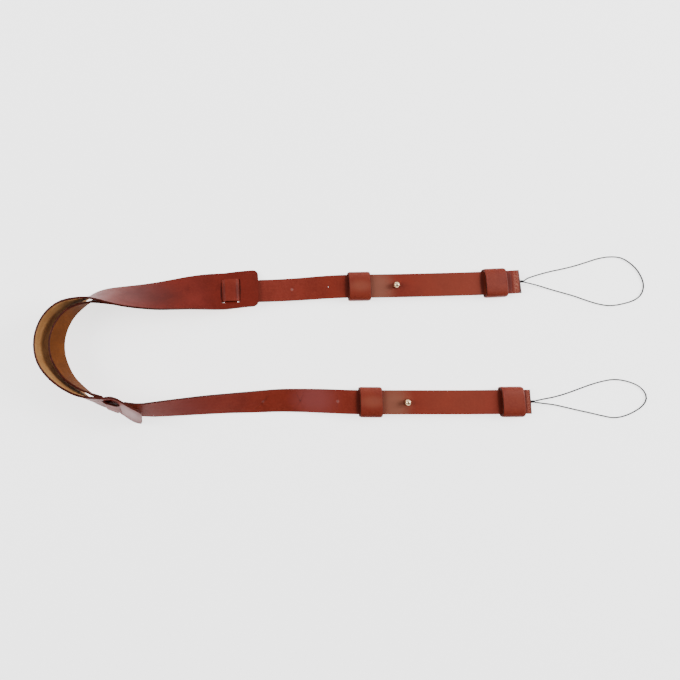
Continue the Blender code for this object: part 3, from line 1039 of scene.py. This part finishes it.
@dataclass
class BallStud:
    """One turned brass ball stud: base plate, post, waisted neck and ball."""

    node: str
    finish: bpy.types.Material
    base_radius: float = 3.4 * MM
    base_thickness: float = 1.0 * MM
    post_radius: float = 1.1 * MM
    neck_radius: float = 1.5 * MM
    waist_share: float = 0.92
    ball_radius: float = 2.6 * MM
    flange_radius: float = 1.9 * MM
    flange_top: float = 0.55 * MM
    flange_foot: float = 0.80 * MM
    bevel: float = 0.15 * MM
    sides: int = 48
    ball_rings: int = 16
    smooth: float = math.radians(35)

    def profile(self, height: float) -> list[tuple[float, float]]:
        """Draw the stud's outline.

        Args:
            height: The whole height of the stud.

        Returns:
            Radius and height of each ring, from the base up.
        """
        ball = height - self.ball_radius
        low = math.acos(self.neck_radius / self.ball_radius)
        foot = ball - self.ball_radius * math.sin(low)
        lip = self.bevel
        outline = [
            (self.base_radius - lip, 0.0),
            (self.base_radius, lip),
            (self.base_radius, self.base_thickness - lip),
            (self.base_radius - lip, self.base_thickness),
            (self.post_radius, self.base_thickness),
            (self.post_radius, foot - self.flange_foot - lip / 3),
            (self.flange_radius, foot - self.flange_foot),
            (self.flange_radius, foot - self.flange_top),
            (self.neck_radius, foot - self.flange_top + lip),
            (self.neck_radius * self.waist_share, foot - lip),
        ]
        for n in range(self.ball_rings):
            turn = -low + (low + math.pi / 2) * n / self.ball_rings
            outline.append(
                (self.ball_radius * math.cos(turn), ball + self.ball_radius * math.sin(turn))
            )
        return outline

    def build(self) -> bpy.types.Object:
        """Model the stud where its solid stands.

        Returns:
            The stud's object.
        """
        low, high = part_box(self.node)
        piece = turn_profile(f"{self.node}_brass", self.profile(high.z - low.z), self.sides)
        piece.data.materials.append(self.finish)
        select_only(piece)
        bpy.ops.object.shade_smooth_by_angle(angle=self.smooth)
        middle = (low + high) / 2
        place_piece(piece, Matrix.Translation((middle.x, middle.y, low.z)))
        hand_over(piece, Slot.BRASS, self.node)
        return piece


# Cords


@dataclass
class StringLoop:
    """One thin cord loop with the barrel knot that stops it at the fold."""

    arm: str
    finish: bpy.types.Material
    length: float
    route: tuple[Place, ...]
    diameter: float = 1.1 * MM
    points: int = 64
    knot_turns: int = 4
    knot_radius: float = 0.60 * MM
    knot_pitch: float = 0.72 * MM
    turn_lean: float = math.radians(9)
    turn_twist: float = math.radians(70)
    core_share: float = 0.45
    core_beyond: float = 2.0 * MM
    core_into_fold: float = 0.8 * MM
    tip_from_knot_middle: float = 0.65 * MM
    floor_gap: float = 0.03 * MM

    def tip(self) -> Vector:
        """Find the outermost point of the fold that the cord leaves."""
        low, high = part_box(f"{self.arm}_loop_knot")
        return (low + high) / 2 - Vector((self.tip_from_knot_middle, 0.0, 0.0))

    def smooth_route(self, tip: Vector) -> np.ndarray:
        """Read evenly spaced points off a smooth curve (Catmull-Rom) through the route.

        Args:
            tip: The fold's outermost point, from which the route is measured.

        Returns:
            The points, one a row.
        """
        places = [(tip.x + x, tip.y + y, z + self.floor_gap) for x, y, z in self.route]
        places = np.array(places)
        ends = (2 * places[0] - places[1], 2 * places[-1] - places[-2])
        padded = np.concatenate([ends[:1], places, ends[1:]])
        dense = []
        for a, b, c, d in zip(padded, padded[1:], padded[2:], padded[3:]):
            for t in np.arange(0.0, 1.0, 0.1):
                bent = (2 * a - 5 * b + 4 * c - d) * t**2 + (3 * b - a - 3 * c + d) * t**3
                dense.append(0.5 * (2 * b + (c - a) * t + bent))
        dense = np.array(dense + [places[-1]])
        steps = np.linalg.norm(np.diff(dense, axis=0), axis=1)
        run = np.concatenate([[0.0], np.cumsum(steps)])
        at = np.linspace(0.0, run[-1], self.points)
        return np.stack([np.interp(at, run, column) for column in dense.T], axis=1)

    def make_knot(self, tip: Vector) -> bpy.types.Object:
        """Model the knot as turns of the cord laid side by side.

        Args:
            tip: The fold's outermost point.

        Returns:
            The knot's object.
        """
        pitch = self.knot_pitch
        bpy.ops.object.select_all(action="DESELECT")
        turns = []
        for n in range(self.knot_turns):
            bpy.ops.mesh.primitive_torus_add(
                location=(0.0, 0.0, (n + 0.5) * pitch),
                rotation=(self.turn_lean, 0.0, self.turn_twist * n),
                major_radius=self.knot_radius,
                minor_radius=self.diameter / 2,
                major_segments=28,
                minor_segments=12,
            )
            turns.append(bpy.context.active_object)
        bpy.ops.mesh.primitive_cylinder_add(
            vertices=16,
            radius=self.diameter * self.core_share,
            depth=self.knot_turns * pitch + self.core_beyond,
            location=(0.0, 0.0, self.knot_turns * pitch / 2 - self.core_into_fold),
        )
        turns.append(bpy.context.active_object)
        for turn in turns:
            turn.select_set(True)
        bpy.ops.object.join()
        knot = bpy.context.active_object
        knot.name = f"{self.arm}_knot_cord"
        knot.data.materials.append(self.finish)
        bpy.ops.object.shade_smooth()
        select_only(knot)
        bpy.ops.object.transform_apply(location=True, rotation=True, scale=True)
        place_piece(knot, Matrix.Translation(tip) @ Matrix.Rotation(math.pi / 2, 4, "Y"))
        hand_over(knot, Slot.CORD, f"{self.arm}_loop_knot")
        return knot

    def build(self) -> list[bpy.types.Object]:
        """Returns:
            The cord's and the knot's objects.
        """
        tip = self.tip()
        curve = bpy.data.curves.new(f"{self.arm}_loop_cord", "CURVE")
        curve.dimensions = "3D"
        curve.bevel_depth = self.diameter / 2
        curve.bevel_resolution = 2
        curve.use_fill_caps = True
        spline = curve.splines.new("POLY")
        places = self.smooth_route(tip)
        spline.points.add(len(places) - 1)
        for point, place in zip(spline.points, places):
            point.co = (*place, 1.0)
        cord = bpy.data.objects.new(f"{self.arm}_loop_cord", curve)
        bpy.context.collection.objects.link(cord)
        curve.materials.append(self.finish)
        hand_over(cord, Slot.CORD, f"{self.arm}_string_loop")
        knot = self.make_knot(tip)
        return [cord, knot]


UPPER_ROUTE = (
    (0.0034, 0.0006, 0.0037),
    (0.0068, 0.0028, 0.0030),
    (0.0175, 0.0064, 0.0014),
    (0.0283, 0.0093, 0.0006),
    (0.0390, 0.0116, 0.0006),
    (0.0497, 0.0142, 0.0006),
    (0.0605, 0.0175, 0.0006),
    (0.0714, 0.0209, 0.0006),
    (0.0820, 0.0225, 0.0006),
    (0.0925, 0.0212, 0.0006),
    (0.1020, 0.0142, 0.0006),
    (0.1072, 0.0058, 0.0006),
    (0.1090, -0.0030, 0.0006),
    (0.1060, -0.0110, 0.0006),
    (0.0994, -0.0160, 0.0006),
    (0.0890, -0.0192, 0.0006),
    (0.0780, -0.0207, 0.0006),
    (0.0678, -0.0192, 0.0006),
    (0.0576, -0.0160, 0.0006),
    (0.0475, -0.0123, 0.0006),
    (0.0373, -0.0093, 0.0006),
    (0.0271, -0.0063, 0.0006),
    (0.0168, -0.0033, 0.0014),
    (0.0068, -0.0012, 0.0030),
    (0.0034, -0.0006, 0.0037),
)
LOWER_ROUTE = (
    (0.0034, 0.0006, 0.0037),
    (0.0070, 0.0012, 0.0030),
    (0.0100, 0.0018, 0.0024),
    (0.0215, 0.0038, 0.0010),
    (0.0319, 0.0066, 0.0006),
    (0.0424, 0.0102, 0.0006),
    (0.0530, 0.0139, 0.0006),
    (0.0634, 0.0168, 0.0006),
    (0.0736, 0.0184, 0.0006),
    (0.0839, 0.0171, 0.0006),
    (0.0932, 0.0135, 0.0006),
    (0.0984, 0.0085, 0.0006),
    (0.0998, 0.0030, 0.0006),
    (0.0974, -0.0020, 0.0006),
    (0.0918, -0.0066, 0.0006),
    (0.0812, -0.0116, 0.0006),
    (0.0708, -0.0135, 0.0006),
    (0.0608, -0.0118, 0.0006),
    (0.0509, -0.0095, 0.0006),
    (0.0409, -0.0073, 0.0006),
    (0.0310, -0.0050, 0.0006),
    (0.0210, -0.0028, 0.0010),
    (0.0097, -0.0014, 0.0024),
    (0.0068, -0.0010, 0.0030),
    (0.0034, -0.0006, 0.0037),
)


# Wear


# Patches of the grain's colour, read off the photograph. Most are painted light and shade:
# a brighter red in the shaded hollow at the lower slots, painted shade along the upper slots and
# over the strap between them, painted sheen on the pad's lower tip, towards the folded ends of the
# arms, beside the inner keepers and on the lower arm, painted shade where the arms twist, a pale
# dot of painted light at three nearly closed holes and a dark dot of painted shade at the fourth,
# painted shadows round the studs and at the keepers' pad-side ends, painted shade along the fold
# tips, and a painted highlight and painted shade on the keepers' domes. The grain is really pale
# and cracked at the folds, and darker just before them.
PAD_PAINTED_LIGHT = (
    # Painted light: a brighter red in the shaded hollow between the two lower slots.
    WearAndPaintedLightZone((-0.1455, -0.0479, 0.020), (0.0100, 0.0016, 0.007), "b8382a", 0.9),
    # Painted shade: dark lines along the two upper slots.
    WearAndPaintedLightZone((-0.0396, 0.0472, 0.006), (0.0012, 0.0125, 0.005), "2c0a06", 0.9),
    WearAndPaintedLightZone((-0.0556, 0.0456, 0.006), (0.0012, 0.0125, 0.005), "2c0a06", 0.9),
    # Painted sheen: a pale grey reflection on the pad's lower tip.
    WearAndPaintedLightZone((-0.130, -0.056, 0.017), (0.022, 0.014, 0.02), "c9a9a8", 0.35),
    # Painted shade: darker where the upper end of the pad twists up towards the bend.
    WearAndPaintedLightZone((-0.117, 0.041, 0.011), (0.040, 0.030, 0.02), "3c1a1a", 0.45),
)
STRAP_WEAR_AND_PAINTED_LIGHT = (
    # At the nearly closed holes: a pale dot of painted light showing through three, a dark dot of
    # painted shade in the fourth.
    WearAndPaintedLightZone((0.0055, 0.0476, 0.004), (0.0019, 0.0019, 0.004), "96605a", 0.7),
    WearAndPaintedLightZone((0.0426, -0.0479, 0.005), (0.0019, 0.0019, 0.004), "96605a", 0.7),
    WearAndPaintedLightZone((0.0111, -0.0470, 0.004), (0.0015, 0.0015, 0.004), "3a1210", 0.8),
    WearAndPaintedLightZone((-0.0203, -0.0477, 0.004), (0.0019, 0.0019, 0.004), "96605a", 0.7),
    # Painted shade over the strap where it crosses the pad between the upper slots, and on its two
    # ramps into them.
    WearAndPaintedLightZone((-0.0475, 0.0465, 0.008), (0.0120, 0.0160, 0.005), "5f1a10", 0.45),
    WearAndPaintedLightZone((-0.0417, 0.0470, 0.007), (0.0024, 0.0140, 0.005), "4a160f", 0.7),
    WearAndPaintedLightZone((-0.0535, 0.0458, 0.007), (0.0018, 0.0140, 0.005), "4a160f", 0.5),
    # Painted sheen: lighter towards the folded ends of both arms.
    WearAndPaintedLightZone((0.150, 0.0520, 0.006), (0.060, 0.030, 0.02), "8a3f2c", 0.35),
    WearAndPaintedLightZone((0.140, -0.0480, 0.006), (0.055, 0.030, 0.02), "8a3f2c", 0.35),
    # Painted sheen: lighter just beyond each inner keeper.
    WearAndPaintedLightZone((0.080, 0.0485, 0.006), (0.019, 0.024, 0.01), "855444", 0.75),
    WearAndPaintedLightZone((0.090, -0.0505, 0.006), (0.019, 0.024, 0.01), "855442", 0.75),
    # Painted sheen on the lower arm, on the pad side of its inner keeper.
    WearAndPaintedLightZone((0.023, -0.047, 0.006), (0.026, 0.024, 0.01), "83413f", 0.7),
    # Painted shade: darker where the lower arm twists.
    WearAndPaintedLightZone((-0.082, -0.050, 0.012), (0.040, 0.024, 0.02), "6a170c", 0.6),
    # Painted shadow: a dark ring round each stud.
    WearAndPaintedLightZone((0.0950, 0.0508, 0.005), (0.0044, 0.0044, 0.004), "3a100a", 0.8),
    WearAndPaintedLightZone((0.1005, -0.0486, 0.005), (0.0044, 0.0044, 0.004), "3a100a", 0.8),
    # Painted shadow: a dark band at the pad-side end of each keeper.
    WearAndPaintedLightZone((0.0530, 0.0503, 0.006), (0.0028, 0.022, 0.01), "4a1a14", 0.85),
    WearAndPaintedLightZone((0.1698, 0.0530, 0.006), (0.0032, 0.022, 0.01), "4a1a14", 0.85),
    WearAndPaintedLightZone((0.0597, -0.0485, 0.006), (0.0028, 0.022, 0.01), "4a1a14", 0.85),
    WearAndPaintedLightZone((0.1787, -0.0482, 0.006), (0.0028, 0.022, 0.01), "4a1a14", 0.85),
    # At each fold: the grain really pale and cracked, darker just before it, and painted shade
    # along the fold's tip.
    WearAndPaintedLightZone((0.1992, 0.0540, 0.006), (0.0040, 0.024, 0.01), "a2604e", 0.8, cracked=True),
    WearAndPaintedLightZone((0.1940, 0.0540, 0.006), (0.0030, 0.015, 0.01), "52120b", 0.7),
    WearAndPaintedLightZone((0.2034, 0.0545, 0.004), (0.0028, 0.040, 0.01), "2a0c0a", 1.0),
    WearAndPaintedLightZone((0.2026, -0.0480, 0.006), (0.0034, 0.024, 0.01), "a2604e", 0.8, cracked=True),
    WearAndPaintedLightZone((0.2000, -0.0480, 0.006), (0.0018, 0.015, 0.01), "52120b", 0.7),
    WearAndPaintedLightZone((0.2053, -0.0481, 0.004), (0.0024, 0.040, 0.01), "2a0c0a", 1.0),
)
KEEPER_PAINTED_LIGHT = (
    # Painted highlight along the top of each inner keeper's dome.
    WearAndPaintedLightZone((0.0640, 0.0500, 0.008), (0.014, 0.007, 0.006), "8a4a38", 0.5),
    WearAndPaintedLightZone((0.0710, -0.0480, 0.008), (0.014, 0.007, 0.006), "8a4a38", 0.5),
    # Painted shade on the -Y side of each keeper's dome.
    WearAndPaintedLightZone((0.0640, 0.0340, 0.006), (0.018, 0.009, 0.010), "5c1c10", 0.6),
    WearAndPaintedLightZone((0.1800, 0.0370, 0.006), (0.018, 0.009, 0.010), "5c1c10", 0.6),
    WearAndPaintedLightZone((0.0703, -0.0650, 0.006), (0.018, 0.009, 0.010), "5c1c10", 0.6),
    WearAndPaintedLightZone((0.1890, -0.0650, 0.006), (0.018, 0.009, 0.010), "5c1c10", 0.6),
)


# Studio


@dataclass(frozen=True)
class Softbox:
    """A square soft lamp: its place, the point it looks at, its side and its power in watts."""

    name: str
    place: Place
    aim: Place
    size: float
    power: float


@dataclass
class Studio:
    """The lit white table, the soft lamps and the camera over the strap."""

    camera_place: Place = (-0.0395, -0.0248, 0.4500)
    camera_tilt: float = 7.5
    focal_share: float = 522 / 680
    shift: tuple[float, float] = (0.147, -0.0515)
    sensor: float = 36.0
    near_clip: float = 0.01
    table_size: float = 8.0
    table_glow: float = 2.2
    room_colour: str = "ffffff"
    room_strength: float = 0.2
    lamps: tuple[Softbox, ...] = (
        Softbox("left_softbox", (-1.45, 0.15, 0.95), (-0.05, 0.0, 0.0), 0.9, 26.0),
        Softbox("right_softbox", (1.60, 0.35, 0.85), (0.05, 0.0, 0.0), 0.9, 44.0),
        Softbox("back_softbox", (0.15, 1.25, 1.00), (0.0, 0.0, 0.0), 1.0, 9.0),
    )

    def add_camera(self) -> None:
        """Set the camera at the photograph's height, tilt and framing."""
        bpy.ops.object.camera_add(
            location=self.camera_place, rotation=(math.radians(self.camera_tilt), 0.0, 0.0)
        )
        camera = bpy.context.active_object
        camera.name = "camera"
        camera.data.sensor_width = self.sensor
        camera.data.sensor_fit = "HORIZONTAL"
        camera.data.lens = self.sensor * self.focal_share
        camera.data.shift_x, camera.data.shift_y = self.shift
        camera.data.clip_start = self.near_clip
        bpy.context.scene.camera = camera

    def add_lamp(self, lamp: Softbox) -> None:
        """Hang one softbox.

        Args:
            lamp: The softbox.
        """
        way = Vector(lamp.aim) - Vector(lamp.place)
        bpy.ops.object.light_add(
            type="AREA", location=lamp.place, rotation=way.to_track_quat("-Z", "Y").to_euler()
        )
        light = bpy.context.active_object
        light.name = lamp.name
        light.data.size = lamp.size
        light.data.energy = lamp.power

    def add_surroundings(self) -> None:
        """Lay the table, hang the lamps and set the even room light."""
        bpy.ops.object.select_all(action="DESELECT")
        bpy.ops.mesh.primitive_plane_add(size=self.table_size, location=(0.0, 0.0, 0.0))
        table = bpy.context.active_object
        table.name = "light_table"
        table.data.materials.append(
            LitAcrylic("white_acrylic_sheet", "fbfbfb", "f6f6f6", self.table_glow).build()
        )
        for lamp in self.lamps:
            self.add_lamp(lamp)
        world = bpy.data.worlds.new("studio_room")
        world.use_nodes = True
        back = world.node_tree.nodes["Background"]
        back.inputs["Color"].default_value = linear(self.room_colour)
        back.inputs["Strength"].default_value = self.room_strength
        bpy.context.scene.world = world


def report(*pieces: bpy.types.Object) -> None:
    """Report finished pieces in the log."""
    for piece in pieces:
        LOG.info("built %s", piece.name)


def main() -> None:
    """Build every sub-assembly in order and report each piece."""
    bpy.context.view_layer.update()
    studio = Studio()
    studio.add_camera()
    cord = TwistedCord("twisted_polyester_cord", "0c0c0e", "202023").build()
    report(*StringLoop("upper", cord, 0.244, UPPER_ROUTE).build())
    report(*StringLoop("lower", cord, 0.214, LOWER_ROUTE).build())

    flesh = FleshLeather("undyed_flesh_side_of_pad", "885c34", "9f7446").build()
    strap_flesh = FleshLeather("undyed_flesh_side_of_strap", "4a2406", "5e310c").build()
    edge = EdgePaint("burnished_dark_edge", "3a130b", "501a10").build()
    pad_grain = GrainLeather(
        "waxed_grain_of_pad", "691c11", "5c170d", "75281b", gloss=0.12, zones=PAD_PAINTED_LIGHT
    ).build()
    strap_grain = GrainLeather(
        "waxed_grain_of_strap", "782a1e", "6c2318", "843829", gloss=0.12, zones=STRAP_WEAR_AND_PAINTED_LIGHT
    ).build()
    keeper_grain = GrainLeather(
        "waxed_grain_of_keeper", "782c1c", "6b2115", "863b29", gloss=0.2, zones=KEEPER_PAINTED_LIGHT
    ).build()

    report(
        LeatherBand(
            "pad",
            Slot.PAD,
            (pad_grain, flesh, edge),
            grain_seeds=(
                Seed((-0.10, 0.043, 0.02), (0.0, 0.6, 0.8)),
                Seed((-0.20, 0.0, 0.016), (-1.0, 0.0, 0.0)),
                Seed((-0.125, -0.058, 0.017), (-0.3, -0.8, 0.5)),
            ),
            flesh_seeds=(
                Seed((-0.10, 0.04, 0.008), (0.0, -0.6, -0.8)),
                Seed((-0.197, 0.0, 0.016), (1.0, 0.0, 0.0)),
                Seed((-0.125, -0.056, 0.015), (0.3, 0.8, -0.5)),
            ),
            slots=(
                WornSlot((-0.0408, 0.0472, 0.0045), (0.5, 0.955, 1.0)),
                WornSlot((-0.0543, 0.0457, 0.0048), (0.5, 0.955, 1.0)),
                WornSlot((-0.1500, -0.0485, 0.0161), (0.35, 0.9, 0.95)),
                WornSlot((-0.1367, -0.0522, 0.0160), (0.35, 0.9, 0.95)),
            ),
        ).build()
    )
    upper_arm, lower_arm = (0.03, 0.07), (-0.07, -0.03)
    report(
        LeatherBand(
            "strap",
            Slot.STRAP,
            (strap_grain, strap_flesh, edge),
            grain_seeds=(
                Seed((0.13, 0.053, 0.005), (0.0, 0.0, 1.0)),
                Seed((0.13, -0.048, 0.005), (0.0, 0.0, 1.0)),
            ),
            flesh_seeds=(
                Seed((0.0, 0.05, 0.002), (0.0, 0.0, -1.0)),
                Seed((0.0, -0.05, 0.002), (0.0, 0.3, -0.9)),
                Seed((-0.18, 0.0, 0.016), (1.0, 0.0, 0.0)),
            ),
            creases=(
                Crease(0.1955, upper_arm, 1.0 * MM, 0.22 * MM),
                Crease(0.1985, upper_arm, 0.9 * MM, 0.18 * MM),
                Crease(0.2018, lower_arm, 0.9 * MM, 0.22 * MM),
            ),
            holes=(
                ClosedHole(0.0369, 0.0497, 0.30),
                ClosedHole(0.0055, 0.0476, 0.13),
                ClosedHole(0.0426, -0.0479, 0.14),
                ClosedHole(0.0111, -0.0470, 0.09),
                ClosedHole(-0.0203, -0.0477, 0.13),
            ),
        ).build()
    )
    for node in (
        "upper_keeper_inner",
        "upper_keeper_outer",
        "lower_keeper_inner",
        "lower_keeper_outer",
    ):
        report(Keeper(node, Slot.KEEPER, (keeper_grain, strap_flesh, edge)).build())
    brass = PolishedBrass("turned_polished_brass", "f2d9b0", "cda877").build()
    for node in ("upper_stud", "lower_stud"):
        report(BallStud(node, brass).build())
    studio.add_surroundings()


if __name__ == "__main__":
    logging.basicConfig(level=logging.INFO)
    main()
